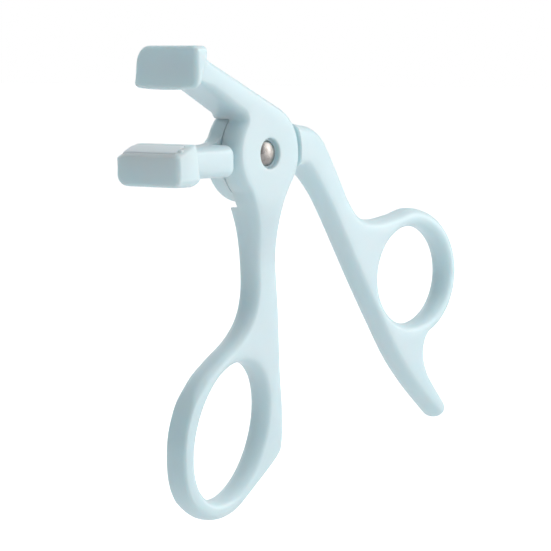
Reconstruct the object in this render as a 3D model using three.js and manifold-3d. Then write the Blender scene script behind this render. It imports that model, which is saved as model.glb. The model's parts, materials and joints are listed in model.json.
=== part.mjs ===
// Partial-lash eyelash curler: two moulded plastic levers lapped half over half at a
// riveted hub, like scissors. Millimetres, +Z up, the pivot axis along Y, the jaws
// towards -X, the rivet's domed head towards -Y. Both levers are drawn in the XZ plane
// about the pivot, in the open position, and the finished tool is set down with the
// middle of its base at the origin.
import * as THREE from 'three';
import { mergeVertices } from 'three/addons/utils/BufferGeometryUtils.js';
import Module from 'manifold-3d';

const wasm = await Module();
wasm.setup();

// Hub: each lever carries half the width of the drum.
const HUB_R = 10.5;
const HUB_WIDTH = 9.8;
const SPLIT_GAP = 0.3; // between the two half drums
const LAP_GAP = 0.35; // round a half drum's rim, where the other lever's arm steps over it
const SHOULDER_GAP = 1.3; // the same, where the other lever's handle begins
const EDGE = 1.5; // rounding of the levers' edges

// Rivet and its cap.
const SHANK_D = 3.2;
const SHANK_GAP = 0.08; // all round, in the levers' bore
const HEAD_D = 5.4;
const HEAD_RISE = 0.9;
const HEAD_RIM = 0.25;
const RECESS_D = 6.4;
const RECESS_DEPTH = 1.2;
const CAP_T = 0.8;
const CAP_GAP = 0.05; // between the shank's end and the cap pressed on it
const SEAT_GAP = 0.05; // under the head and under the cap

// Handles. Each loop's hole is an ellipse whose top leans sideways by `lean`.
const HANDLE_T = 5.4;
const BAND = 4.2; // material round a hole
const THUMB_HOLE = { x: -9.8, z: -57.9, halfWidth: 10.9, halfHeight: 14.1, lean: 3.6 };
const FINGER_HOLE = { x: 55.5, z: -29.5, halfWidth: 13.1, halfHeight: 11.1, lean: 0 };
const THIN_FROM = 9; // distance from the pivot where a handle starts to get thinner
const THIN_TO = 25; // distance where it has come down to HANDLE_T
const FINGER_SHOULDER = 4.2; // half width of the finger handle where it meets the front half drum
const NECK = 7.7; // narrowest width of the thumb handle
const TAIL = 17; // how far the finger rest runs down past its loop
const TAIL_R = 2.3;

// Arms.
const ARM_TOP_SLOPE = 23.2; // degrees; the thumb lever's arm
const ARM_UNDER_SLOPE = 26.6;
const ARM_UNDER_AT_PIVOT = 4; // height where the underside would pass the pivot
const LOW_ARM_TOP = 2.1;
const LOW_ARM_BOTTOM = -4.6;
const LOW_ARM_END = -HUB_R - 0.8; // the front half of the finger lever's arm stops short of the drum

// Jaws: both run along Y from JAW_NEAR.
const JAW_NEAR = -5.5;
const JAW_LENGTH = 17;
const JAW_EDGE = 0.45;
const JAW_CORNER = 0.75;
const UPPER_FRONT = -24.7;
const UPPER_TOP = 22.6;
const UPPER_LIP = 13.5; // height of the pressing edge
const UPPER_TOP_DEPTH = 3.9;
const UPPER_LIP_DEPTH = 1.6;
const LOWER_FRONT = -30.3;
const LOWER_DEPTH = 4.7;
const LOWER_BOTTOM = -6.1;
const BED = 1.5; // height of the bed's middle, where the pad lies
const BED_TILT = 25; // degrees; the bed slopes down forwards and is level once closed
const PAD_WIDTH = 3.4;
const PAD_DEPTH = 1.5; // let into the jaw
const PAD_PROUD = 0.3;
const PAD_GAP = 0.1;
const PAD_WALL = 0.8; // jaw wall past each end of the pad

const PLASTIC = { color: 0xcfe3e9, roughness: 0.38, metalness: 0 };
const METAL = { color: 0xc9c4be, roughness: 0.18, metalness: 1 };
const SILICONE = { color: 0xb4c6d0, roughness: 0.6, metalness: 0 };

const rad = THREE.MathUtils.degToRad;
const point = (x, z) => new THREE.Vector2(x, z);

function polar(radius, degrees) {
  return point(radius * Math.cos(rad(degrees)), radius * Math.sin(rad(degrees)));
}

// ---- Solids

function solid(geometry) {
  const bare = geometry.clone();
  bare.deleteAttribute('normal');
  bare.deleteAttribute('uv');
  const merged = mergeVertices(bare, 1e-5);
  const vertProperties = new Float32Array(merged.attributes.position.array);
  const triVerts = new Uint32Array(merged.index.array);
  return new wasm.Manifold(new wasm.Mesh({ numProp: 3, vertProperties, triVerts }));
}

function geometryOf(body) {
  const mesh = body.getMesh();
  const geometry = new THREE.BufferGeometry();
  geometry.setAttribute('position', new THREE.BufferAttribute(new Float32Array(mesh.vertProperties), 3));
  geometry.setIndex(new THREE.BufferAttribute(new Uint32Array(mesh.triVerts), 1));
  geometry.computeVertexNormals();
  return geometry;
}

function part(name, geometry, look) {
  const mesh = new THREE.Mesh(geometry, new THREE.MeshStandardMaterial(look));
  mesh.name = name;
  return mesh;
}

// A plate drawn in XZ and given its width along Y, all its edges rounded.
function plate(shape, yNear, yFar, edge, curveSegments = 5) {
  const geometry = new THREE.ExtrudeGeometry(shape, {
    depth: yFar - yNear - 2 * edge,
    bevelEnabled: edge > 0,
    bevelThickness: edge,
    bevelSize: edge,
    bevelOffset: -edge,
    bevelSegments: 3,
    curveSegments,
  });
  geometry.rotateX(Math.PI / 2);
  geometry.translate(0, yFar - edge, 0);
  return geometry;
}

// A round bar along Y, between its two ends in either order.
function bar(diameter, yOne, yOther) {
  const geometry = new THREE.CylinderGeometry(diameter / 2, diameter / 2, Math.abs(yOther - yOne), 48);
  geometry.translate(0, (yOne + yOther) / 2, 0);
  return solid(geometry);
}

function box(x0, x1, y0, y1, z0, z1) {
  const geometry = new THREE.BoxGeometry(x1 - x0, y1 - y0, z1 - z0);
  geometry.translate((x0 + x1) / 2, (y0 + y1) / 2, (z0 + z1) / 2);
  return solid(geometry);
}

// A closed outline through straight sides with its corners rounded.
function roundedOutline(corners, radius) {
  const shape = new THREE.Shape();
  corners.forEach((corner, i) => {
    const before = corners[(i + corners.length - 1) % corners.length];
    const after = corners[(i + 1) % corners.length];
    const start = corner.clone().add(before.clone().sub(corner).setLength(radius));
    const end = corner.clone().add(after.clone().sub(corner).setLength(radius));
    if (i === 0) shape.moveTo(start.x, start.y);
    else shape.lineTo(start.x, start.y);
    shape.quadraticCurveTo(corner.x, corner.y, end.x, end.y);
  });
  shape.closePath();
  return shape;
}

// ---- Hub

const HALF = HUB_WIDTH / 2;
const CLEAR = 20; // a cutter that reaches this far from the pivot is clear of the drum

// Room for the other lever's half drum, on the far side (+1) or the near side (-1), with
// more of it inside the box `shoulder`, where a handle begins.
function lapRoom(side, shoulder) {
  const inner = (-side * SPLIT_GAP) / 2;
  const wide = bar(2 * (HUB_R + SHOULDER_GAP), inner, side * CLEAR).intersect(shoulder);
  return bar(2 * (HUB_R + LAP_GAP), inner, side * CLEAR).add(wide);
}

// The bore for the shank, with the recess for the head or the cap on one side.
function boreAndRecess(side) {
  const bore = bar(SHANK_D + 2 * SHANK_GAP, -CLEAR, CLEAR);
  const recess = bar(RECESS_D, side * (HALF - RECESS_DEPTH), side * CLEAR);
  return bore.add(recess);
}

// ---- Handles

// Point of a loop's edge, `band` outside its hole, at an angle counted from +X.
function loopPoint(hole, band, degrees) {
  const turn = rad(degrees);
  const x = hole.x + (hole.halfWidth + band) * Math.cos(turn) + hole.lean * Math.sin(turn);
  return point(x, hole.z + (hole.halfHeight + band) * Math.sin(turn));
}

function holePath(hole) {
  const turns = Array.from({ length: 36 }, (_, i) => loopPoint(hole, 0, i * 10));
  return new THREE.Path(turns);
}

// Share of the way from the drum's width down to the handle's, at a distance from the pivot.
function thinning(distance) {
  return THREE.MathUtils.smoothstep(distance, THIN_FROM, THIN_TO);
}

const STATIONS = 12; // lengths a neck is made of
const BLANK = 9; // half width of a neck's bar between its rounded corners

// The bar a neck starts from: square with rounded corners, one unit of Z per station.
function neckBlank() {
  const section = new THREE.Shape();
  [[1, 1], [-1, 1], [-1, -1], [1, -1]].forEach(([sx, sy], corner) => {
    for (let i = 0; i <= 3; i += 1) {
      const at = polar(EDGE, corner * 90 + i * 30).add(point(sx * BLANK, sy * BLANK));
      if (corner + i === 0) section.moveTo(at.x, at.y);
      else section.lineTo(at.x, at.y);
    }
  });
  section.closePath();
  return new THREE.ExtrudeGeometry(section, { depth: STATIONS, steps: STATIONS, bevelEnabled: false });
}

// How far a coordinate of the blank lies inside the blank's face.
function inset(coordinate) {
  return BLANK + EDGE - Math.abs(coordinate);
}

// A neck between two edge curves in XZ, its near and far half widths given by functions of
// the distance from the pivot: the blank with its points moved to the curves.
function neck(leftEdge, rightEdge, nearAt, farAt) {
  const geometry = neckBlank();
  const position = geometry.attributes.position;
  for (let i = 0; i < position.count; i += 1) {
    const along = Math.round(position.getZ(i)) / STATIONS;
    const left = leftEdge.getPoint(along);
    const right = rightEdge.getPoint(along);
    const across = right.clone().sub(left).normalize();
    const sideways = position.getX(i);
    const edge = sideways < 0 ? left : right;
    const at = edge.clone().sub(across.multiplyScalar(Math.sign(sideways) * inset(sideways)));
    const depth = -position.getY(i);
    const half = (depth < 0 ? nearAt : farAt)(at.length());
    position.setXYZ(i, at.x, Math.sign(depth) * (half - inset(depth)), at.y);
  }
  return solid(geometry);
}

// ---- Jaws

// A jaw: its side profile in XZ run along Y, cut to its rounded outline in the front view.
function jaw(profile, front) {
  const run = plate(profile, JAW_NEAR, JAW_NEAR + JAW_LENGTH, JAW_EDGE, 4);
  return solid(run).intersect(frontMask(front));
}

// Turns an outline drawn in (y, z) into a long bar along X.
function frontMask(front) {
  const mask = new THREE.ExtrudeGeometry(front, { depth: 30, bevelEnabled: false, curveSegments: 5 });
  mask.rotateX(Math.PI / 2);
  mask.rotateZ(Math.PI / 2);
  mask.translate(-40, 0, 0);
  return solid(mask);
}

// Rounded rectangle in (y, z), `shorter` than the jaw at each end; the radii start at the near
// bottom corner and go round by the far side.
function frontOutline(z0, z1, shorter, radii) {
  const y0 = JAW_NEAR + shorter;
  const y1 = JAW_NEAR + JAW_LENGTH - shorter;
  const shape = new THREE.Shape();
  shape.absarc(y0 + radii[0], z0 + radii[0], radii[0], Math.PI, 1.5 * Math.PI);
  shape.absarc(y1 - radii[1], z0 + radii[1], radii[1], 1.5 * Math.PI, 2 * Math.PI);
  shape.absarc(y1 - radii[2], z1 - radii[2], radii[2], 0, 0.5 * Math.PI);
  shape.absarc(y0 + radii[3], z1 - radii[3], radii[3], 0.5 * Math.PI, Math.PI);
  shape.closePath();
  return shape;
}

// ---- Thumb lever: upper jaw, front half of the drum, straight handle, upright loop

function armTop(x) {
  const touch = polar(HUB_R, 90 - ARM_TOP_SLOPE);
  return touch.y + (touch.x - x) * Math.tan(rad(ARM_TOP_SLOPE));
}

function armUnder(x) {
  return ARM_UNDER_AT_PIVOT - x * Math.tan(rad(ARM_UNDER_SLOPE));
}

function thumbDrum() {
  const tip = UPPER_FRONT + 2;
  const touch = polar(HUB_R, 90 - ARM_TOP_SLOPE);
  const shape = new THREE.Shape();
  shape.moveTo(tip, armTop(tip));
  shape.lineTo(touch.x, touch.y);
  shape.absarc(0, 0, HUB_R, rad(90 - ARM_TOP_SLOPE), rad(144 - 360), true);
  shape.quadraticCurveTo(-7.6, armUnder(-7.6), -9.8, armUnder(-9.8));
  shape.lineTo(tip, armUnder(tip));
  shape.closePath();
  return solid(plate(shape, -HALF, HALF, EDGE, 14));
}

const THUMB_LEFT = [
  point(-7.4, -5.5),
  point(-6.7, -8.2),
  point(-4.6, -12.6),
  point(-3.1, -17),
  point(-2.2, -23),
  point(-2.1, -29.5),
];
const THUMB_RIGHT = [
  point(8.2, -5.5),
  point(7, -8),
  point(5.2, -12.2),
  point(NECK - 2.8, -16.5),
  point(NECK - 2.2, -23),
  point(NECK - 1.6, -29.5),
];

function thumbNeck() {
  const left = new THREE.SplineCurve(THUMB_LEFT);
  const right = new THREE.SplineCurve(THUMB_RIGHT);
  const near = (distance) => THREE.MathUtils.lerp(HALF, HANDLE_T / 2, thinning(distance));
  return neck(left, right, near, () => HANDLE_T / 2);
}

function thumbLoop() {
  const ring = (degrees) => loopPoint(THUMB_HOLE, BAND, degrees);
  const side = THUMB_HOLE.x + THUMB_HOLE.halfWidth + BAND + 2.7;
  const shape = new THREE.Shape();
  shape.moveTo(NECK - 1.9, -26);
  shape.lineTo(NECK - 1.6, -29.5);
  shape.splineThru([
    point(NECK - 1.2, -34),
    point(side - 0.9, THUMB_HOLE.z + 12),
    point(side, THUMB_HOLE.z + 2),
    point(side - 0.2, THUMB_HOLE.z - 4),
    point(side - 1.8, THUMB_HOLE.z - 7.4),
    ring(-48),
    ring(-72),
    ring(-96),
    ring(-120),
    ring(-148),
    ring(-178),
    ring(158),
    ring(140),
    point(-13.4, -42.2),
    point(-7.8, -38.8),
    point(-3.8, -34.6),
    point(-2.1, -29.5),
  ]);
  shape.lineTo(-2.1, -26);
  shape.closePath();
  shape.holes.push(holePath(THUMB_HOLE));
  return solid(plate(shape, -HANDLE_T / 2, HANDLE_T / 2, EDGE, 4));
}

function upperJaw() {
  const profile = roundedOutline([
    point(UPPER_FRONT, UPPER_LIP),
    point(UPPER_FRONT, UPPER_TOP),
    point(UPPER_FRONT + UPPER_TOP_DEPTH - 0.8, UPPER_TOP - 0.4),
    point(UPPER_FRONT + UPPER_TOP_DEPTH, UPPER_TOP - 2.3),
    point(UPPER_FRONT + UPPER_LIP_DEPTH, UPPER_LIP),
  ], JAW_CORNER);
  return jaw(profile, frontOutline(UPPER_LIP, UPPER_TOP, 0, [0.8, 1.2, 3.3, 0.8]));
}

function thumbLever() {
  const whole = thumbDrum().add(thumbNeck()).add(thumbLoop()).add(upperJaw());
  const shoulder = box(-CLEAR, CLEAR, -CLEAR, CLEAR, -CLEAR, -5);
  return geometryOf(whole.subtract(lapRoom(1, shoulder)).subtract(boreAndRecess(-1)));
}

// ---- Finger lever: lower jaw, rear half of the drum, bent handle, loop and finger rest

function fingerDrum() {
  const tip = LOWER_FRONT + 2;
  const shape = new THREE.Shape();
  shape.moveTo(tip, LOW_ARM_TOP);
  shape.lineTo(-13.2, LOW_ARM_TOP);
  shape.quadraticCurveTo(-10.8, LOW_ARM_TOP, polar(HUB_R, 160).x, polar(HUB_R, 160).y);
  shape.absarc(0, 0, HUB_R, rad(160), rad(-153), true);
  shape.lineTo(-11, LOW_ARM_BOTTOM);
  shape.lineTo(tip, LOW_ARM_BOTTOM);
  shape.closePath();
  return solid(plate(shape, -HALF, HALF, EDGE, 14));
}

const FINGER_UPPER = [
  point(5, 6.2),
  point(12.5, 5.7),
  point(17, 5.1),
  point(21.1, 3.1),
  point(24.3, -0.4),
  point(27.8, -5.6),
  point(29.7, -8.5),
];
const FINGER_UNDER = [
  point(5, -5.5),
  point(10.2, -3),
  point(14.2, -2.7),
  point(17.6, -5.6),
  point(21.1, -9.7),
  point(24.8, -14.6),
  point(26.9, -17.6),
];

function fingerNeck() {
  const under = new THREE.SplineCurve(FINGER_UNDER);
  const upper = new THREE.SplineCurve(FINGER_UPPER);
  const near = (distance) => THREE.MathUtils.lerp(FINGER_SHOULDER, HANDLE_T / 2, thinning(distance));
  const far = (distance) => THREE.MathUtils.lerp(HALF, HANDLE_T / 2, thinning(distance));
  return neck(under, upper, near, far);
}

function fingerLoop() {
  const ring = (degrees) => loopPoint(FINGER_HOLE, BAND, degrees);
  const below = FINGER_HOLE.z - FINGER_HOLE.halfHeight;
  const left = FINGER_HOLE.x - FINGER_HOLE.halfWidth;
  const tip = point(66.7, below - TAIL - 3.6);
  const shape = new THREE.Shape();
  shape.moveTo(27.8, -5.6);
  shape.lineTo(29.7, -8.5);
  shape.splineThru([
    point(31.4, -11),
    point(left - 7, -14.9),
    point(left - 1.2, -16.1),
    ring(112),
    ring(90),
    ring(66),
    ring(42),
    ring(18),
    ring(-6),
    ring(-30),
    ring(-52),
    point(61.6, below - 3.4),
    point(60.2, below - 7.2),
    point(61.8, below - 11.6),
    point(65.2, below - TAIL + 1.4),
    tip.clone().add(polar(TAIL_R, 40)),
  ]);
  shape.absarc(tip.x, tip.y, TAIL_R, rad(40), rad(-127), true);
  shape.splineThru([
    point(60.8, below - TAIL - 1.8),
    point(55.4, below - TAIL + 2.8),
    point(48.9, -48.2),
    point(41.7, -38.7),
    point(35, -29.4),
    point(29.3, -21.1),
    point(26.9, -17.6),
  ]);
  shape.lineTo(24.8, -14.6);
  shape.closePath();
  shape.holes.push(holePath(FINGER_HOLE));
  return solid(plate(shape, -HANDLE_T / 2, HANDLE_T / 2, EDGE, 4));
}

// Middle of the pad's bed, and a point of the bed `along` it and `above` it.
function bedPoint(along, above) {
  const middle = point(LOWER_FRONT + LOWER_DEPTH / 2, BED);
  const slope = rad(BED_TILT);
  const x = along * Math.cos(slope) - above * Math.sin(slope);
  return middle.add(point(x, along * Math.sin(slope) + above * Math.cos(slope)));
}

function lowerJaw() {
  const rear = LOWER_FRONT + LOWER_DEPTH;
  const run = LOWER_DEPTH / 2 / Math.cos(rad(BED_TILT));
  const profile = roundedOutline([
    point(LOWER_FRONT, LOWER_BOTTOM),
    bedPoint(-run, 0),
    bedPoint(run, 0),
    point(rear + 1.6, LOW_ARM_TOP - 1),
    point(rear + 2.6, LOW_ARM_BOTTOM),
    point(rear, LOWER_BOTTOM),
  ], JAW_CORNER);
  const top = bedPoint(run, 0).y;
  return jaw(profile, frontOutline(LOWER_BOTTOM, top, 0, [1.2, 2.8, 2.6, 0.6]));
}

// The pad's own profile, or with `gap` the slot it lies in.
function padProfile(gap, above) {
  const half = PAD_WIDTH / 2 + gap;
  return [
    bedPoint(-half, -PAD_DEPTH - gap),
    bedPoint(half, -PAD_DEPTH - gap),
    bedPoint(half, above),
    bedPoint(-half, above),
  ];
}

function padSlot() {
  const slot = new THREE.Shape(padProfile(PAD_GAP, 6));
  const y0 = JAW_NEAR + PAD_WALL;
  const y1 = JAW_NEAR + JAW_LENGTH - PAD_WALL;
  return solid(plate(slot, y0, y1, 0, 1));
}

function lashPad() {
  const profile = roundedOutline(padProfile(0, PAD_PROUD), 0.35);
  const shorter = PAD_WALL + PAD_GAP;
  const run = plate(profile, JAW_NEAR + shorter, JAW_NEAR + JAW_LENGTH - shorter, 0, 4);
  const top = bedPoint(PAD_WIDTH / 2, PAD_PROUD).y;
  const front = frontOutline(LOWER_BOTTOM, top, shorter, [0.5, 0.5, 2.2, 0.8]);
  return geometryOf(solid(run).intersect(frontMask(front)));
}

// The front half of the arm, with its rounded end short of the hub.
function frontArm() {
  const outline = roundedOutline([
    point(LOWER_FRONT + 2, LOW_ARM_BOTTOM),
    point(LOW_ARM_END, LOW_ARM_BOTTOM),
    point(LOW_ARM_END, LOW_ARM_TOP),
    point(LOWER_FRONT + 2, LOW_ARM_TOP),
  ], 2.2);
  return solid(plate(outline, -HALF, HALF, EDGE));
}

function fingerLever() {
  const nearRoot = box(LOW_ARM_END - 3, 0, -CLEAR, SPLIT_GAP / 2, -HUB_R, HUB_R);
  const shoulder = box(5, CLEAR, -CLEAR, CLEAR, -CLEAR, CLEAR);
  const whole = fingerDrum().add(fingerNeck()).add(fingerLoop());
  const halved = whole.subtract(lapRoom(-1, shoulder)).subtract(nearRoot);
  const jawed = halved.add(frontArm()).add(lowerJaw()).subtract(padSlot());
  return geometryOf(jawed.subtract(boreAndRecess(1)));
}

// ---- Rivet

// Domed head in the near recess, and the shank that runs to the far recess.
function rivet() {
  const seat = HALF - RECESS_DEPTH + SEAT_GAP;
  const end = HALF - RECESS_DEPTH + SEAT_GAP + CAP_T * 0.7;
  const profile = [point(0, -end), point(SHANK_D / 2, -end), point(SHANK_D / 2, seat)];
  profile.push(point(HEAD_D / 2, seat));
  for (let i = 0; i <= 6; i += 1) {
    const turn = rad(i * 15);
    const height = seat + HEAD_RIM + (HEAD_RISE - HEAD_RIM) * Math.sin(turn);
    profile.push(point(i === 6 ? 0 : (HEAD_D / 2) * Math.cos(turn), height));
  }
  const geometry = new THREE.LatheGeometry(profile, 40);
  geometry.rotateZ(Math.PI);
  return geometryOf(solid(geometry));
}

// Washer-shaped cap pressed on the shank's end, in the far recess.
function rivetCap() {
  const seat = HALF - RECESS_DEPTH + SEAT_GAP;
  const hole = SHANK_D / 2 + CAP_GAP;
  const profile = [
    point(hole, seat),
    point(HEAD_D / 2, seat),
    point(HEAD_D / 2, seat + CAP_T * 0.5),
    point(HEAD_D / 2 - 0.4, seat + CAP_T),
    point(hole, seat + CAP_T),
    point(hole, seat),
  ];
  return geometryOf(solid(new THREE.LatheGeometry(profile, 40)));
}

// ---- The tool, set down on its lowest point

const group = new THREE.Group();
group.add(part('thumb_lever', thumbLever(), PLASTIC));
group.add(part('finger_lever', fingerLever(), PLASTIC));
group.add(part('lash_pad', lashPad(), SILICONE));
group.add(part('rivet', rivet(), METAL));
group.add(part('rivet_cap', rivetCap(), METAL));

const bounds = new THREE.Box3().setFromObject(group);
const middle = bounds.getCenter(new THREE.Vector3());
group.position.set(-middle.x, -middle.y, -bounds.min.z);
group.updateMatrixWorld(true);

export default group;
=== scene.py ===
"""Eyelash curler for part of a lash line: two moulded levers lapped at a riveted hub.

The levers are drawn about the pivot in millimetres, X away from the jaws, Z up, Y along
the pivot away from the rivet's head, and are set at the pivot's place in the frame.
"""
import json
import math

import bpy
import numpy as np
from mathutils import Matrix, Vector
from mathutils.geometry import delaunay_2d_cdt


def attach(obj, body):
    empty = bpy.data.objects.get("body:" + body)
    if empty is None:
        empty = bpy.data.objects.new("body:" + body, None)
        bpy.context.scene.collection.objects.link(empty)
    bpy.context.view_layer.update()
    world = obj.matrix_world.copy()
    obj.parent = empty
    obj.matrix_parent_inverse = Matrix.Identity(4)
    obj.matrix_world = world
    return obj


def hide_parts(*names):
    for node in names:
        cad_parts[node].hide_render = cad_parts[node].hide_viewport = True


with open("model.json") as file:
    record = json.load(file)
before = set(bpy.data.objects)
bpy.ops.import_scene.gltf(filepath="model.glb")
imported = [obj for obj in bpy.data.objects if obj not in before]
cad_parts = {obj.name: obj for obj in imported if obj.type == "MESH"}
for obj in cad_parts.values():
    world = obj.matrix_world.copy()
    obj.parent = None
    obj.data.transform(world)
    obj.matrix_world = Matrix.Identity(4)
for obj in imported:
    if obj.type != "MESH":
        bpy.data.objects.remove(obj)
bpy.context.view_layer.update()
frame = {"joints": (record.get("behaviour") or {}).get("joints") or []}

PIVOT = np.array(frame["joints"][0]["pos_m"])
MM = 0.001

# Sizes of the tool in millimetres, as in the frame it stands for.
HUB_R = 10.5
HALF = 4.9  # half the width of the drum and the arms
SPLIT = 0.15  # half the gap between the half drums
LAP_R = 10.85  # room round a half drum
SHOULDER_R = 11.6  # the finger lever's shoulder, round the near half drum
THUMB_SHOULDER_R = 12.4  # the thumb lever's, round the far one
HANDLE_HALF = 2.7
FINGER_SHOULDER = 4.2  # height of the finger lever's near face at its shoulder
EDGE = 1.5  # rounding of the levers' edges
RIM_DEEP = (1.5, 1.25)  # depth of that rounding over its width, on the near and the far face
RECESS_R = 3.2
RECESS_FLOOR = 3.7
RECESS_MOUTH = 0.35  # rounding of the recess's mouth
BORE_R = 1.68
BAND = 4.2  # width of the loops
ARM_TOUCH = 66.8  # degrees round the drum where the upper arm's top leaves it
ARM_SLOPE = 23.2  # degrees by which that top slants
THUMB_ARM_END = -23.6
FINGER_ARM_END = -28.8
JAW_Y = (-5.5, 11.5)
UPPER_Z = (13.5, 22.5)
UPPER_FRONT = -24.7
LOWER_Z = (-6.1, 1.5)
LOWER_FRONT = -30.3
BED = (-27.95, LOWER_Z[1])  # middle of the pad's bed
BED_TILT = math.radians(25)
PAD_HALF = 1.7
PAD_FOOT = 1.5  # depth of the pad's foot below the bed
PAD_END_DROP = (3.4, 1.4)  # the lower jaw's far top corner, along it and down

OVER = 0.01  # how far a cutting tool reaches past a face
SHARP = 0.02  # rounding of a tool's edge that is to cut sharp


# ---- Outlines


def polar(radius, degrees):
    """Points on a circle about the pivot."""
    turn = np.radians(np.atleast_1d(degrees).astype(float))
    return radius * np.stack([np.cos(turn), np.sin(turn)], 1)


def arc(radius, start, end, centre=(0, 0)):
    """Points of a circle's arc from one angle to another, about two degrees apart."""
    return polar(radius, np.linspace(start, end, int(abs(end - start) / 2) + 2)) + centre


def through(points, steps=12):
    """A Catmull-Rom curve: each span is the cubic through its two points whose slopes are
    half the difference of the neighbours on either side."""
    p = np.asarray(points, float)
    p = np.concatenate([p[:1], p, p[-1:]])
    t = np.linspace(0, 1, steps, endpoint=False)[None, :, None]
    a, b, c, d = (p[k : len(p) - 3 + k, None] for k in range(4))
    slope, square, cube = c - a, 2 * a - 5 * b + 4 * c - d, 3 * b - a - 3 * c + d
    spans = 0.5 * (2 * b + slope * t + square * t**2 + cube * t**3)
    return np.concatenate([spans.reshape(-1, 2), p[-1:]])


def evened(points, spacing):
    """A closed outline's points moved along it to equal steps of about `spacing`."""
    p = np.concatenate([points, points[:1]])
    length = np.concatenate([[0], np.cumsum(np.linalg.norm(np.diff(p, axis=0), axis=1))])
    at = np.linspace(0, length[-1], int(length[-1] / spacing), endpoint=False)
    return np.stack([np.interp(at, length, p[:, k]) for k in (0, 1)], 1)


def softened(points, width, spacing=0.3):
    """A closed outline, turning anticlockwise, averaged along itself with a bell curve of
    `width`, so that its corners become fillets."""
    p = evened(np.asarray(points, float), spacing)
    if np.sum(p[:, 0] * np.roll(p[:, 1], -1) - p[:, 1] * np.roll(p[:, 0], -1)) < 0:
        p = p[::-1]
    wave = np.fft.fftfreq(len(p), spacing) * 2 * np.pi * width
    p = np.fft.ifft(np.fft.fft(p, axis=0) * np.exp(-0.5 * wave**2)[:, None], axis=0).real
    return evened(p, spacing)


def inward(p):
    """Unit vectors square to a closed outline, pointing to the left of its direction."""
    along = np.roll(p, -1, axis=0) - np.roll(p, 1, axis=0)
    along /= np.linalg.norm(along, axis=1, keepdims=True)
    return np.stack([-along[:, 1], along[:, 0]], 1)


def rounding_that_fits(p, size, reach=3, share=0.85):
    """An edge rounding along a closed outline, held to a share of the outline's own radius
    where it turns more tightly, as measured `reach` points each way. The least one nearby
    is then taken, and averaged along the outline."""
    ahead, behind = np.roll(p, -reach, axis=0) - p, p - np.roll(p, reach, axis=0)
    across = behind[:, 0] * ahead[:, 1] - behind[:, 1] * ahead[:, 0]
    turn = np.arctan2(across, np.sum(ahead * behind, axis=1))
    held = np.minimum(size, share * np.linalg.norm(ahead, axis=1) / np.maximum(turn, 0.001))
    nearby = range(-2 * reach, 2 * reach + 1)
    least = np.min([np.roll(held, k) for k in nearby], axis=0)
    return np.mean([np.roll(least, k) for k in nearby], axis=0)


def rounded_box(across, up, corners, steps=12):
    """A box's outline with elliptical corners given as (run, rise), from the low corner at
    the near end round by the far end. Its points are (-across, up)."""
    (near, far), (low, high) = across, up
    quarter = np.radians(np.linspace(0, 90, steps))
    places = [(near, low, 1, 1), (far, low, -1, 1), (far, high, -1, -1), (near, high, 1, -1)]
    points = []
    for (y, z, inside_y, inside_z), (run, rise) in zip(places, corners):
        a = quarter if inside_y == inside_z else quarter[::-1]
        along = y + inside_y * run * (1 - np.cos(a))
        points.append(np.stack([along, z + inside_z * rise * (1 - np.sin(a))], 1))
    return np.concatenate(points) * [-1, 1]


def ease(value, start, end):
    """0 before start, 1 after end, and the smooth cubic between them."""
    t = np.clip((value - start) / (end - start), 0, 1)
    return t * t * (3 - 2 * t)


def level(height):
    """A face at one height."""
    return lambda x, z: np.full_like(x, height)


# ---- Meshes


def held_inside(points, outline):
    """Which points lie inside a closed outline: those with an odd number of its sides above."""
    a, b = outline, np.roll(outline, -1, axis=0)
    x, z = points[:, :1], points[:, 1:]
    spans = (a[:, 0] > x) != (b[:, 0] > x)
    run = np.where(b[:, 0] == a[:, 0], 1e-12, b[:, 0] - a[:, 0])
    height = a[:, 1] + (x - a[:, 0]) / run * (b[:, 1] - a[:, 1])
    return np.sum(spans & (height > z), axis=1) % 2 == 1


def lattice(outline, holes, pitch):
    """Points of a triangular lattice inside an outline and clear of its holes and sides.
    Its rows are a triangle's height apart."""
    row_step, clearance = pitch * 0.866, 0.55 * pitch
    low, high = outline.min(0), outline.max(0)
    rows = np.arange(low[1], high[1], row_step)
    odd = (np.arange(len(rows)) % 2)[:, None]
    x = np.arange(low[0], high[0], pitch)[None, :] + odd * pitch / 2
    p = np.stack([x, np.broadcast_to(rows[:, None], x.shape)], -1).reshape(-1, 2)
    keep = held_inside(p, outline)
    for hole in holes:
        keep &= ~held_inside(p, hole)
    p = p[keep]
    sides = np.concatenate([outline, *holes])
    square = [np.sum((part[:, None] - sides) ** 2, -1).min(1) for part in np.array_split(p, 40)]
    return p[np.concatenate(square) > clearance**2]


def triangles_between(outline, holes, inner):
    """Triangles that join the outline, the holes and the inner points, as indices into
    them one after another. A triangle with all its corners on one loop is kept if they come
    in the loop's own order, which holds just for those on the loop's left."""
    loops = [outline, *holes]
    points = np.concatenate([*loops, inner])
    starts = np.cumsum([0] + [len(loop) for loop in loops])
    sides = [(s + k, s + (k + 1) % n) for s, n in zip(starts, map(len, loops)) for k in range(n)]
    made = delaunay_2d_cdt([Vector(p) for p in points.tolist()], sides, [], 0, 1e-7, True)
    triangles, sources = made[2:4]
    tri = np.array([found[0] for found in sources])[np.array(triangles)]
    owner = np.searchsorted(starts, tri, side="right")
    one_loop = (owner == owner[:, :1]).all(1) & (owner[:, 0] <= len(loops))
    in_order = (tri < np.roll(tri, -1, axis=1)).sum(1) == 2
    return tri[~one_loop | in_order]


def quads(ids):
    """Faces between the rows of a grid of point numbers, each row closed on itself."""
    after = np.roll(ids, -1, axis=1)
    return np.stack([ids[:-1], ids[1:], after[1:], after[:-1]], -1).reshape(-1, 4)


def mesh_of(name, points, faces):
    """A mesh from points in millimetres about the pivot and lists of faces."""
    mesh = bpy.data.meshes.new(name)
    places = (np.asarray(points) * MM + PIVOT).tolist()
    mesh.from_pydata(places, [], [face for part in faces for face in part.tolist()])
    mesh.validate()
    mesh.shade_smooth()
    return mesh


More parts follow.
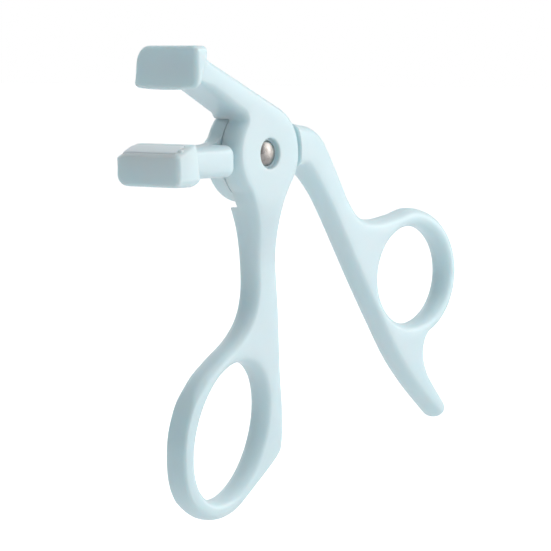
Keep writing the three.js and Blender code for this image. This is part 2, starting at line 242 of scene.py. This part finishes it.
def rim(loop, faces, edges, deep):
    """Rows of points round one outline, from the near face to the far one. At an angle a of
    an edge's quarter round, a point lies edge x (1 - cos a) inside the outline and
    deep x edge x (1 - sin a) below the face."""
    normal = inward(loop)
    quarter = np.radians(np.linspace(90, 0, 7))
    rows = []
    for face, edge, depth, side in zip(faces, edges, deep, (1, -1)):
        if callable(edge):
            size = rounding_that_fits(loop, edge(loop[:, 0], loop[:, 1]))
        else:
            size = np.full(len(loop), edge)
        for a in quarter[::side]:
            at = loop + normal * size[:, None] * (1 - math.cos(a))
            y = face(at[:, 0], at[:, 1]) + side * depth * np.abs(size) * (1 - math.sin(a))
            rows.append(np.stack([at[:, 0], y, at[:, 1]], 1))
    return np.array(rows)


def moulded(name, outline, holes, faces, edges, pitch=1.2, bend=None, deep=(1, 1)):
    """A closed body between a near and a far face over an outline in XZ, with a rim round
    the outline and each hole. Each of `faces` gives its height along Y over any point. Each
    of `edges` is its rounding, or a function of the place on the outline that gives it; a
    minus one flares the rim outwards. `bend` moves the finished points."""
    points, polygons, loops, loop_ids, start = [], [], [], [], 0
    for loop in [outline, *holes]:
        rows = rim(loop, faces, edges, deep)
        ids = start + np.arange(rows.size // 3).reshape(rows.shape[:2])
        polygons.append(quads(ids))
        points.append(rows.reshape(-1, 3))
        loops.append([rows[0][:, [0, 2]], rows[-1][:, [0, 2]]])
        loop_ids.append([ids[0], ids[-1]])
        start += ids.size
    for end, face in enumerate(faces):
        sides = [ends[end] for ends in loops]
        inner = lattice(sides[0], sides[1:], pitch)
        ids = np.concatenate([*[ends[end] for ends in loop_ids], start + np.arange(len(inner))])
        tri = ids[triangles_between(sides[0], sides[1:], inner)]
        polygons.append(tri[:, ::-1] if end else tri)
        points.append(np.stack([inner[:, 0], face(inner[:, 0], inner[:, 1]), inner[:, 1]], 1))
        start += len(inner)
    points = np.concatenate(points)
    return mesh_of(name, bend(points) if bend else points, polygons)


def turned(name, profile, around=96):
    """A profile of (radius, y), turned once round the pivot's axis. One that starts on the
    axis ends on it too and is closed there by fans; any other is closed onto its start."""
    profile = np.asarray(profile, float)
    solid = profile[0, 0] == 0
    band = profile[1:-1] if solid else np.concatenate([profile, profile[:1]])
    turn = np.linspace(0, 2 * np.pi, around, endpoint=False)
    y = np.broadcast_to(band[:, 1:], (len(band), around))
    points = np.stack([band[:, :1] * np.cos(turn), y, band[:, :1] * np.sin(turn)], -1)
    points = points.reshape(-1, 3)
    ids = np.arange(len(points)).reshape(len(band), around)
    if solid:
        first, last = np.full(around, len(points)), np.full(around, len(points) + 1)
        start, end = [(row, np.roll(row, -1)) for row in (ids[0], ids[-1])]
        fans = [np.stack([first, start[0], start[1]], 1), np.stack([last, end[1], end[0]], 1)]
        points = np.concatenate([points, [[0, profile[0, 1], 0], [0, profile[-1, 1], 0]]])
    else:
        ids[-1] = ids[0]
        fans = []
        points = points[:-around]
    return mesh_of(name, points, [quads(ids), *fans])


# ---- Joining and cutting


def combined(body, tool, way):
    """The body with a tool's shape cut from it or joined to it, as a new mesh."""
    base = bpy.data.objects.new("base", body)
    other = bpy.data.objects.new("tool", tool)
    for o in (base, other):
        bpy.context.scene.collection.objects.link(o)
    step = base.modifiers.new("cut", "BOOLEAN")
    step.operation, step.object, step.solver = way, other, "EXACT"
    bpy.context.view_layer.update()
    worked = base.evaluated_get(bpy.context.evaluated_depsgraph_get())
    made = bpy.data.meshes.new_from_object(worked)
    for o in (base, other):
        bpy.data.objects.remove(o)
    return made


def cut(body, tool):
    return combined(body, tool, "DIFFERENCE")


def joined(body, other):
    return combined(body, other, "UNION")


def piece(name, mesh, body, *nodes, slot, look, crease=None):
    """A finished piece that rides on a body and stands for CAD nodes. Edges that turn by
    more than `crease` degrees are kept sharp."""
    mesh.name = name
    mesh.shade_smooth()
    if crease:
        mesh.set_sharp_from_angle(angle=math.radians(crease))
    mesh.materials.clear()
    mesh.materials.append(look)
    o = bpy.data.objects.new(name, mesh)
    bpy.context.scene.collection.objects.link(o)
    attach(o, body)
    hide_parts(*nodes)


def lap_tool():
    """Room in the thumb lever for the far half drum: a prism round the pivot, from the
    split to the far side. Its radius is LAP_R, and THUMB_SHOULDER_R over the neck."""
    neck, half_width, fade, mouth = -90, 62, 12, 0.3
    turn = np.arange(0, 360, 1.5)
    away = np.abs((turn - neck + 180) % 360 - 180)
    radius = LAP_R + (THUMB_SHOULDER_R - LAP_R) * ease(half_width - away, 0, fade)
    outline = softened(radius[:, None] * polar(1, turn), 0.3)
    faces = (level(-SPLIT), level(HALF + OVER))
    return moulded("lap", outline, [], faces, (SHARP, -mouth), pitch=3)


def recess_tool(side):
    """The bore and, on one side, the recess for the rivet's head or cap, its mouth rounded."""
    outside, corner = 6, 0.2
    a = np.radians(np.linspace(0, 90, 7))
    wider, lower = RECESS_MOUTH * (1 - np.cos(a)), RECESS_MOUTH * (1 - np.sin(a))
    mouth = np.stack([RECESS_R + wider, HALF - lower], 1)
    bore = [(0, -outside), (BORE_R, -outside), (BORE_R, RECESS_FLOOR)]
    seat = [(RECESS_R - corner, RECESS_FLOOR), (RECESS_R, RECESS_FLOOR + corner)]
    top = [(RECESS_R + RECESS_MOUTH, outside), (0, outside)]
    profile = np.array([*bore, *seat, *mouth.tolist(), *top])
    if side < 0:
        profile = profile[::-1] * [1, -1]
    return turned("recess", profile)


# ---- Jaws


def stood_up(points):
    """From the plate's drawing plane to the jaw's: (-y, z) across the plate, X through it."""
    return np.stack([points[:, 1], -points[:, 0], points[:, 2]], 1)


def end_rounding(a, z):
    """The front face's edges are rounder at the jaw's two ends than along it."""
    return 0.7 + 0.4 * ease(np.abs(a + np.mean(JAW_Y)), 6.8, 8.4)


def upper_jaw():
    """The upper jaw: a plate that narrows upwards at its far end and tapers down to the
    pressing edge. The edge's ends are drawn up by a parabola along the jaw."""
    lip, edge_depth, more_depth, taper_height = UPPER_Z[0], 1.6, 2.3, 6.8
    narrowing, draw = 0.4, 0.4
    corners = [(1.3, 1.2), (1.25, 1.15), (3.4, 4.4), (1.2, 1.1)]
    outline = softened(rounded_box(JAW_Y, UPPER_Z, corners), 0.2, 0.2)
    outline[:, 0] += narrowing * ease(-outline[:, 0], 2, 10) * ease(outline[:, 1], lip, 20)

    def back(a, z):
        return UPPER_FRONT + edge_depth + more_depth * np.clip((z - lip) / taper_height, 0, 1)

    def bow(points):
        points = stood_up(points)
        across = (points[:, 1] - np.mean(JAW_Y)) / (0.5 * np.ptp(JAW_Y))
        points[:, 2] += draw * across**2 * ease(-points[:, 2], -18, -lip)
        return points

    faces = (level(UPPER_FRONT), back)
    return moulded("upper_jaw", outline, [], faces, (end_rounding, 0.9), 0.8, bow)


def lower_jaw():
    """The lower jaw: a deep plate whose upper part leans with the bed, z rising by the
    tangent of the tilt times the distance behind the bed's middle."""
    corners = [(1.4, 1.3), (3.0, 2.6), PAD_END_DROP, (1.2, 1.1)]
    outline = softened(rounded_box(JAW_Y, LOWER_Z, corners), 0.2, 0.2)

    def back(a, z):
        return np.interp(z, [LOWER_Z[0], -4.6, 1.0, LOWER_Z[1]], [-24.9, -23.2, -24.4, -25.6])

    def lean(points):
        points = stood_up(points)
        behind = points[:, 0] - BED[0]
        points[:, 2] += math.tan(BED_TILT) * behind * ease(points[:, 2], -1.2, 1.4)
        return points

    faces = (level(LOWER_FRONT), back)
    return moulded("lower_jaw", outline, [], faces, (end_rounding, 0.6), 0.8, lean)


def pad_shape(name, grow, top, crown, edge):
    """The pad, or with `grow` the slot it lies in: a strip in the bed's plane, its top
    crowned by a parabola across and run down over the far end like the jaw's own corner.
    Drawn as (-y, distance up the bed)."""
    half = PAD_HALF + grow
    ends = (JAW_Y[0] + 1.5 - grow, JAW_Y[1] - 0.9 + grow)
    box = rounded_box(ends, (-half, half), [(0.5, 0.5)] * 4, steps=8)
    outline = softened(box, 0.1, 0.15)

    def upper(a, v):
        return -(top + crown * (1 - (v / half) ** 2))

    def laid(points):
        y, above, v = -points[:, 0], -points[:, 1], points[:, 2]
        run, rise = PAD_END_DROP
        drop = rise - rise * np.sqrt(1 - np.clip((y - JAW_Y[1]) / run + 1, 0, 0.9) ** 2)
        above = np.where(above > -1.2, above - drop, above)
        x = BED[0] + v * math.cos(BED_TILT) - above * math.sin(BED_TILT)
        z = BED[1] + v * math.sin(BED_TILT) + above * math.cos(BED_TILT)
        return np.stack([x, y, z], 1)

    return moulded(name, outline, [], (upper, level(PAD_FOOT + grow)), (edge, 0.15), 0.5, laid)


# ---- Levers


# A loop's hole: its middle, its half width and half height, and how far its top leans.
THUMB_HOLE = (-9.8, -57.9, 10.9, 14.1, 3.6)
FINGER_HOLE = (55.5, -29.5, 13.1, 11.1, 0)


def ring(hole, degrees, band=BAND):
    """Points `band` outside a loop's hole, which is an ellipse whose top leans sideways."""
    x, z, half_width, half_height, lean = hole
    turn = np.radians(np.atleast_1d(degrees).astype(float))
    across = x + (half_width + band) * np.cos(turn) + lean * np.sin(turn)
    return np.stack([across, z + (half_height + band) * np.sin(turn)], 1)


def hole_of(hole):
    """A loop's hole as a clockwise outline."""
    return evened(ring(hole, np.arange(360, 0, -3), 0), 0.4)


def lever_rounding(tip, growth):
    """The levers' edge rounding: it grows by `growth` along the handles, and shrinks over
    the last 2 mm of the arm that ends at x = `tip`, inside its jaw."""
    shrink = 1.15

    def size(x, z):
        handle = ease(np.hypot(x, z), 11, 24) * ease(np.maximum(x, -z), 0, 6)
        return EDGE + growth * handle - shrink * ease(-x, -tip - 2.2, -tip - 0.4)

    return size


def plate(outline, hole, faces, tip, growth):
    """A lever's whole plate, before it is lapped."""
    edges = [lever_rounding(tip, growth)] * 2
    return moulded("plate", softened(outline, 0.45), [hole_of(hole)], faces, edges, deep=RIM_DEEP)


def along_handle(x, z):
    """0 at the hub, easing to 1 where the handle has its own thickness."""
    return ease(np.hypot(x, z), 9, 25)


def arm_top(x):
    """Height of the thumb lever's arm along its top, a tangent to the drum."""
    touch = polar(HUB_R, ARM_TOUCH)[0]
    return touch[1] + (touch[0] - x) * math.tan(math.radians(ARM_SLOPE))


def arm_under(x):
    """Height of its underside."""
    return 4 - x * math.tan(math.radians(26.6))


def thumb_outline():
    """Arm, drum, neck and upright loop in one line."""
    side = THUMB_HOLE[0] + THUMB_HOLE[2] + BAND + 2.7
    right = [(7.9, -6.9), (6.3, -9.5), (5.3, -12.4), (4.9, -16.5), (5.5, -23), (6.1, -29.5)]
    corner = [(6.5, -34), (side - 0.9, -45.9), (side, -55.9), (side - 0.2, -61.9), (side - 1.8, -65.3)]
    round_loop = ring(THUMB_HOLE, [-48, -72, -96, -120, -148, -178, 158, 140]).tolist()
    left = [(-13.4, -42.2), (-7.8, -38.8), (-3.8, -34.6), (-2.1, -29.5), (-2.2, -23)]
    neck = [(-3.1, -17), (-4.6, -12.7), (-6.0, -10.0)]
    under = -8.3
    return np.concatenate([
        [(THUMB_ARM_END, arm_top(THUMB_ARM_END))],
        arc(HUB_R, ARM_TOUCH, -39),
        through([*right, *corner, *round_loop, *left, *neck]),
        arc(HUB_R, 230, 138),
        [(x, arm_under(x)) for x in (under, THUMB_ARM_END)],
    ])


def thumb_near(x, z):
    """Near face: the drum's height, easing to the handle's with distance from the pivot."""
    return -(HALF + (HANDLE_HALF - HALF) * (along_handle(x, z) * ease(-z, 0, 6)))


def thumb_far(x, z):
    """Far face: the arm's height above the pivot and the handle's below."""
    return HALF + (HANDLE_HALF - HALF) * ease(-z, -2, 6)


def thumb_lever():
    """The plate with the lap and the rivet's seat cut, then the jaw joined to it."""
    body = plate(thumb_outline(), THUMB_HOLE, (thumb_near, thumb_far), THUMB_ARM_END, 0.2)
    body = cut(cut(body, lap_tool()), recess_tool(-1))
    return joined(body, upper_jaw())


def finger_outline():
    """Arm, disc, bent handle, loop and finger rest in one line."""
    below = FINGER_HOLE[1] - FINGER_HOLE[3]
    tip, tip_r = (66.7, below - 20.6), 2.3
    arm = [(FINGER_ARM_END, 1.7), (-13.2, 2.1), (-11.2, 2.5)]
    shoulder = [(8.3, 6.5), (12.5, 5.75), (17, 5.1), (21.1, 3.1), (24.3, -0.4), (27.8, -5.6)]
    upper = [(29.7, -8.5), (31.4, -11), (35.4, -14.9), (41.2, -16.1)]
    round_loop = ring(FINGER_HOLE, [112, 90, 66, 42, 18, -6, -30, -52]).tolist()
    rest = [(61.6, below - 3.4), (60.2, below - 7.2), (61.8, below - 11.6), (65.2, below - 15.6)]
    end = arc(tip_r, 40, -127, tip)
    under = [(60.8, below - 18.8), (55.4, below - 14.2), (48.9, -48.2), (41.7, -38.7), (35, -29.4)]
    root = [(29.3, -21.1), (26.9, -17.6), (24.8, -14.6), (21.1, -9.7), (17.6, -5.6), (14.4, -3.1)]
    return np.concatenate([
        arm,
        arc(HUB_R, 159, 38),
        through([*shoulder, *upper, *round_loop, *rest, end[0].tolist()]),
        end,
        through([*under, *root, (11.6, -3.3)]),
        arc(HUB_R, -22, -153),
        [(-11, -4.6), (FINGER_ARM_END, -4.6)],
    ])


def finger_near(x, z):
    """Near face: the arm's full height, and from the shoulder down to the handle's."""
    handle = FINGER_SHOULDER + (HANDLE_HALF - FINGER_SHOULDER) * along_handle(x, z)
    return -np.where(x < 0, HALF, handle)


def finger_far(x, z):
    """Far face: the drum's height, easing to the handle's."""
    return HALF + (HANDLE_HALF - HALF) * (along_handle(x, z) * ease(x, 0, 6))


def arm_end_tool():
    """What is cut from the near half round the arm's rounded end: the disc's room run out
    past the arm's end, with the arm's own rounded rectangle left standing."""
    end_x, end_r, outside, tall = -13.5, 2.2, -15.2, 7
    outline = np.concatenate([
        arc(end_r, 0, 90, (end_x, -0.08)),
        [(outside, 2.12), (outside, tall)],
        arc(SHOULDER_R, 110, -110),
        [(outside, -tall), (outside, -4.62)],
        arc(end_r, -90, 0, (end_x, -2.42)),
    ])
    faces = (level(-HALF - OVER), level(SPLIT))
    return moulded("arm_end", softened(outline, 0.25), [], faces, (-EDGE, SHARP), pitch=3)


def finger_lever():
    """The plate with the near half drum and the cap's seat cut, then the jaw joined to it
    and the pad's slot cut."""
    body = plate(finger_outline(), FINGER_HOLE, (finger_near, finger_far), FINGER_ARM_END, 0.38)
    body = cut(cut(body, arm_end_tool()), recess_tool(1))
    body = joined(body, lower_jaw())
    return cut(body, pad_shape("slot", grow=0.1, top=4, crown=0, edge=0.05))


# ---- Rivet


def rivet():
    """Domed head over a straight shank: the dome is an arc about the axis, run into the
    upright rim by a smaller one."""
    crown, dome_r = -4.65, 5.2
    away = np.linspace(0.2, 2.3, 11)
    dome = np.stack([away, crown + dome_r - np.sqrt(dome_r**2 - away**2)], 1)
    edge = [(2.5, -3.97), (2.62, -3.9), (2.69, -3.82), (2.66, -3.77), (2.55, -3.75)]
    shank = [(1.6, -3.75), (1.6, 4.2), (1.5, 4.31), (0, 4.31)]
    return turned("rivet", [(0, crown), *dome.tolist(), *edge, *shank])


def rivet_cap():
    """Washer with a rounded outer edge, pressed on the shank's end."""
    a = np.radians(np.linspace(0, 90, 7))
    edge = np.stack([2.3 + 0.4 * np.cos(a), 4.15 + 0.4 * np.sin(a)], 1)
    foot = [(1.65, 3.75), (2.62, 3.75), (2.7, 3.83)]
    return turned("rivet_cap", [*foot, *edge.tolist(), (1.8, 4.55), (1.65, 4.45)])


# ---- Finishes


SURFACE = {"Color": "Color", "Roughness": "Float", "Height": "Float"}  # what a skin gives


def group(name, inputs, outputs):
    """An empty shader group with named inputs (name: (kind, value)) and outputs: its tree,
    what it is given and its output node."""
    tree = bpy.data.node_groups.new(name, "ShaderNodeTree")
    for label, (kind, value) in inputs.items():
        socket = tree.interface.new_socket(label, in_out="INPUT", socket_type="NodeSocket" + kind)
        if value is not None:
            socket.default_value = value
    for label, kind in outputs.items():
        tree.interface.new_socket(label, in_out="OUTPUT", socket_type="NodeSocket" + kind)
    return tree, tree.nodes.new("NodeGroupInput").outputs, tree.nodes.new("NodeGroupOutput")


def give(tree, node, **inputs):
    """Gives a node its inputs: other nodes' outputs are linked, and values are set. Those
    named _0, _1 and so on go to the input of that number."""
    for key, value in inputs.items():
        socket = node.inputs[int(key[1:])] if key[0] == "_" else node.inputs[key.replace("_", " ")]
        if isinstance(value, bpy.types.NodeSocket):
            tree.links.new(value, socket)
        else:
            socket.default_value = value


def add(tree, kind, settings=None, **inputs):
    """A node of a kind, with its settings and inputs."""
    node = tree.nodes.new("ShaderNode" + kind)
    for key, value in (settings or {}).items():
        setattr(node, key, value)
    give(tree, node, **inputs)
    return node


def noise(tree, where, **inputs):
    """The value of a noise at a place."""
    return add(tree, "TexNoise", None, Vector=where, **inputs).outputs[0]


def spread(tree, value, low, high, to_low, to_high):
    """A value's range carried to another, held at its ends."""
    ends = {"From_Min": low, "From_Max": high, "To_Min": to_low, "To_Max": to_high}
    return add(tree, "MapRange", None, Value=value, **ends).outputs[0]


def maths(tree, operation, *values):
    """One step of arithmetic."""
    numbered = {f"_{k}": value for k, value in enumerate(values)}
    return add(tree, "Math", {"operation": operation}, **numbered).outputs[0]


def times(tree, a, b):
    return maths(tree, "MULTIPLY", a, b)


def plus(tree, a, b):
    return maths(tree, "ADD", a, b)


def mixed(tree, share, a, b):
    """One colour over another."""
    return add(tree, "Mix", {"data_type": "RGBA"}, _0=share, _6=a, _7=b).outputs[2]


def moulding_group():
    """Injection-moulded skin: slow drifts of tint, a fine eggshell grain and soft smudges."""
    inputs = {
        "Vector": ("Vector", None),
        "Tint": ("Color", (0.6, 0.8, 0.85, 1)),
        "Thick tint": ("Color", (0.5, 0.75, 0.8, 1)),
        "Drift": ("Float", 0.4),
        "Roughness": ("Float", 0.35),
        "Grain": ("Float", 1.0),
    }
    tree, given, out = group("moulded skin", inputs, SURFACE)
    where = given["Vector"]
    drift = noise(tree, where, Scale=55.0, Detail=2.0, Roughness=0.4)
    smudge = noise(tree, where, Scale=240.0, Detail=4.0, Roughness=0.55, Distortion=0.6)
    peel = noise(tree, where, Scale=1100.0, Detail=1.0, Roughness=0.5)
    grain = noise(tree, where, Scale=5200.0, Detail=2.0, Roughness=0.6)
    share = times(tree, spread(tree, drift, 0.35, 0.65, 0.0, 1.0), given["Drift"])
    uneven = spread(tree, smudge, 0.35, 0.7, -0.05, 0.07)
    height = plus(tree, times(tree, peel, 0.6), times(tree, grain, 0.4))
    give(
        tree, out,
        Color=mixed(tree, share, given["Tint"], given["Thick tint"]),
        Roughness=plus(tree, given["Roughness"], uneven),
        Height=times(tree, height, given["Grain"]),
    )
    return tree


def scuff_group():
    """Hairline scuffs from handling: thin bands of a stretched noise, kept to a few patches."""
    inputs = {"Vector": ("Vector", None), "Amount": ("Float", 0.5)}
    tree, given, out = group("scuffs", inputs, {"Mask": "Float", "Height": "Float"})
    where = given["Vector"]
    stretch = {"Rotation": (0.3, 0.5, 0.9), "Scale": (60, 2600, 260)}
    stretched = add(tree, "Mapping", None, Vector=where, **stretch).outputs[0]
    lines = noise(tree, stretched, Scale=1.0, Detail=1.0, Roughness=0.5)
    patches = noise(tree, where, Scale=120.0, Detail=2.0)
    thin = spread(tree, lines, 0.66, 0.72, 0.0, 1.0)
    kept = times(tree, thin, spread(tree, patches, 0.52, 0.64, 0.0, 1.0))
    mask = times(tree, kept, given["Amount"])
    give(tree, out, Mask=mask, Height=times(tree, mask, -1.0))
    return tree


def lathe_group():
    """Turning marks round the pivot's axis: a wave of the distance from it, with tarnish."""
    inputs = {
        "Vector": ("Vector", None),
        "Color": ("Color", (0.7, 0.7, 0.7, 1)),
        "Tarnish": ("Color", (0.4, 0.36, 0.32, 1)),
    }
    tree, given, out = group("turning marks", inputs, SURFACE)
    where = given["Vector"]
    flat = add(tree, "VectorMath", {"operation": "MULTIPLY"}, _0=where, _1=(1.0, 0.0, 1.0))
    away = add(tree, "VectorMath", {"operation": "LENGTH"}, _0=flat.outputs[0])
    rings = maths(tree, "SINE", times(tree, away.outputs["Value"], 52000.0))
    stain = noise(tree, where, Scale=900.0, Detail=5.0, Roughness=0.6)
    share = spread(tree, stain, 0.45, 0.75, 0.0, 0.55)
    give(
        tree, out,
        Color=mixed(tree, share, given["Color"], given["Tarnish"]),
        Roughness=spread(tree, stain, 0.3, 0.8, 0.12, 0.34),
        Height=plus(tree, times(tree, rings, 0.35), stain),
    )
    return tree


SKIN = moulding_group()
SCUFFS = scuff_group()
LATHE = lathe_group()


def finish_named(name):
    """An empty material: its tree, its shader and its Object coordinates about the pivot."""
    material = bpy.data.materials.new(name)
    material.use_nodes = True
    tree = material.node_tree
    shader = tree.nodes["Principled BSDF"]
    where = add(tree, "TexCoord").outputs["Object"]
    about = add(tree, "Mapping", None, Vector=where, Location=tuple(-PIVOT)).outputs[0]
    return material, tree, shader, about


def placed(tree, made, **inputs):
    """A shared group placed in a material with its own values."""
    node = tree.nodes.new("ShaderNodeGroup")
    node.node_tree = made
    give(tree, node, **inputs)
    return node.outputs


def bumped(tree, shader, height, distance):
    """Height into the shader's normal."""
    bump = add(tree, "Bump", None, Height=height, Distance=distance, Strength=1.0)
    give(tree, shader, Normal=bump.outputs[0])


def ice_blue_plastic():
    """Satin ice-blue moulded plastic that lets a little light through."""
    material, tree, shader, about = finish_named("ice blue plastic")
    tints = {"Tint": (0.665, 0.80, 0.835, 1), "Thick_tint": (0.62, 0.795, 0.835, 1)}
    skin = placed(tree, SKIN, Vector=about, Drift=0.5, Roughness=0.36, Grain=1.0, **tints)
    scuffs = placed(tree, SCUFFS, Vector=about, Amount=0.5)
    pale = times(tree, scuffs["Mask"], 0.25)
    rubbed = times(tree, scuffs["Mask"], 0.18)
    height = plus(tree, skin["Height"], times(tree, scuffs["Height"], 0.5))
    bumped(tree, shader, height, 0.00001)
    give(
        tree, shader,
        Base_Color=mixed(tree, pale, skin["Color"], (0.80, 0.90, 0.92, 1)),
        Roughness=plus(tree, skin["Roughness"], rubbed),
        IOR=1.52,
        Subsurface_Weight=0.55,
        Subsurface_Radius=(0.55, 1.0, 1.1),
        Subsurface_Scale=0.003,
        Coat_Weight=0.4,
        Coat_Roughness=0.35,
    )
    return material


def pad_silicone():
    """Soft grey-blue silicone with a dull bloom."""
    material, tree, shader, about = finish_named("grey blue silicone")
    tints = {"Tint": (0.82, 0.93, 0.96, 1), "Thick_tint": (0.82, 0.90, 0.97, 1)}
    skin = placed(tree, SKIN, Vector=about, Drift=0.8, Roughness=0.55, Grain=1.6, **tints)
    bumped(tree, shader, skin["Height"], 0.00002)
    give(
        tree, shader,
        Base_Color=skin["Color"],
        Roughness=skin["Roughness"],
        IOR=1.41,
        Subsurface_Weight=0.3,
        Subsurface_Radius=(0.6, 0.8, 1.0),
        Subsurface_Scale=0.0015,
        Sheen_Weight=0.15,
        Sheen_Roughness=0.5,
    )
    return material


def rivet_metal():
    """Plated steel with fine turning marks and a little tarnish."""
    material, tree, shader, about = finish_named("plated rivet")
    colours = {"Color": (0.36, 0.34, 0.325, 1), "Tarnish": (0.20, 0.165, 0.14, 1)}
    marks = placed(tree, LATHE, Vector=about, **colours)
    bumped(tree, shader, marks["Height"], 0.00001)
    give(tree, shader, Base_Color=marks["Color"], Roughness=marks["Roughness"], Metallic=1.0)
    return material


# ---- Setting


def floor():
    """A wide pale floor that glows a little, so that shadows on it stay faint. It lies
    15 mm down, because the bent handle swings below the other as the jaws close."""
    size, drop = 6.0, 0.015
    places = [(x * size, y * size, -drop) for x, y in ((-1, -1), (1, -1), (1, 1), (-1, 1))]
    mesh = bpy.data.meshes.new("floor")
    mesh.from_pydata(places, [], [(0, 1, 2, 3)])
    material = bpy.data.materials.new("pale floor")
    material.use_nodes = True
    tree = material.node_tree
    seen = add(tree, "LightPath").outputs["Is Camera Ray"]
    give(
        tree, tree.nodes["Principled BSDF"],
        Base_Color=(0.86, 0.87, 0.88, 1),
        Roughness=0.9,
        Emission_Color=(1, 1, 1, 1),
        Emission_Strength=spread(tree, seen, 0.0, 1.0, 0.08, 0.6),
    )
    mesh.materials.append(material)
    o = bpy.data.objects.new("floor", mesh)
    bpy.context.scene.collection.objects.link(o)


def sky():
    """White surroundings, brighter above and away from the jaws; seen directly they are
    plain white."""
    world = bpy.data.worlds.new("white studio")
    bpy.context.scene.world = world
    world.use_nodes = True
    tree = world.node_tree
    tree.nodes.clear()
    way = add(tree, "TexCoord").outputs["Generated"]
    bright = (0.75, -0.2, 0.63)
    along = add(tree, "VectorMath", {"operation": "DOT_PRODUCT"}, _0=way, _1=bright)
    strength = spread(tree, along.outputs["Value"], -0.8, 0.7, 0.05, 0.66)
    lighting = add(tree, "Background", None, Color=(0.97, 0.98, 1, 1), Strength=strength)
    plain = add(tree, "Background", None, Color=(1, 1, 1, 1), Strength=1.0)
    rays = add(tree, "LightPath").outputs["Is Camera Ray"]
    shown = add(tree, "MixShader", None, _0=rays, _1=lighting.outputs[0], _2=plain.outputs[0])
    end = tree.nodes.new("ShaderNodeOutputWorld")
    give(tree, end, Surface=shown.outputs[0])


def way_to(azimuth, elevation):
    """The way from the pivot to a place at an azimuth and an elevation in degrees: 0 is in
    front, and a plus azimuth turns to the right."""
    a, e = math.radians(azimuth), math.radians(elevation)
    return Vector((math.sin(a) * math.cos(e), -math.cos(a) * math.cos(e), math.sin(e)))


def lamp(name, azimuth, elevation, distance, size, watts, color=(1, 1, 1)):
    """A square soft light that looks at the pivot."""
    way = way_to(azimuth, elevation)
    light = bpy.data.lights.new(name, "AREA")
    light.energy, light.size, light.color = watts, size, color
    o = bpy.data.objects.new(name, light)
    o.location = Vector(PIVOT) + way * distance
    o.rotation_mode = "QUATERNION"
    o.rotation_quaternion = (-way).to_track_quat("-Z", "Y")
    bpy.context.scene.collection.objects.link(o)


def camera():
    """A long lens from the jaws' side, a little above, aimed below the pivot."""
    distance, aside, below = 0.540, 0.00484, 0.02579
    back = way_to(-51.5, 5)
    right = Vector((0, 0, 1)).cross(back).normalized()
    up = back.cross(right)
    turn = Matrix((right, up, back)).transposed().to_4x4()
    aim = Vector(PIVOT) + right * aside - up * below
    lens = bpy.data.cameras.new("camera")
    lens.sensor_width, lens.lens = 36, 167.6
    lens.clip_start, lens.clip_end = 0.05, 30
    o = bpy.data.objects.new("camera", lens)
    o.matrix_world = Matrix.Translation(aim + back * distance) @ turn
    bpy.context.scene.collection.objects.link(o)
    bpy.context.scene.camera = o


def corners(box):
    return [list(box[0]), list(box[1])]


plastic = ice_blue_plastic()
metal = rivet_metal()
silicone = pad_silicone()

of_plastic = {"slot": "lever_plastic", "look": plastic, "crease": 38}
of_metal = {"slot": "rivet_metal", "look": metal, "crease": 40}
pad = pad_shape("pad", grow=0, top=0.22, crown=0.12, edge=0.35)
piece("thumb_lever_moulding", thumb_lever(), "thumb_side", "thumb_lever", **of_plastic)
piece("finger_lever_moulding", finger_lever(), "finger_side", "finger_lever", **of_plastic)
piece("silicone_pad", pad, "finger_side", "lash_pad", slot="pad_silicone", look=silicone)
piece("domed_rivet", rivet(), "thumb_side", "rivet", **of_metal)
piece("pressed_cap", rivet_cap(), "thumb_side", "rivet_cap", **of_metal)

floor()
sky()
lamp("key", 49, 14, 1.1, 0.8, 5.1, (1.0, 0.99, 0.97))
lamp("fill", -60, 12, 1.2, 0.9, 0.2, (0.96, 0.98, 1.0))
lamp("top", -20, 78, 1.2, 1.0, 3.5)
lamp("back", 160, 25, 1.2, 1.0, 2.0)
camera()
bpy.context.scene.view_settings.view_transform = "Standard"
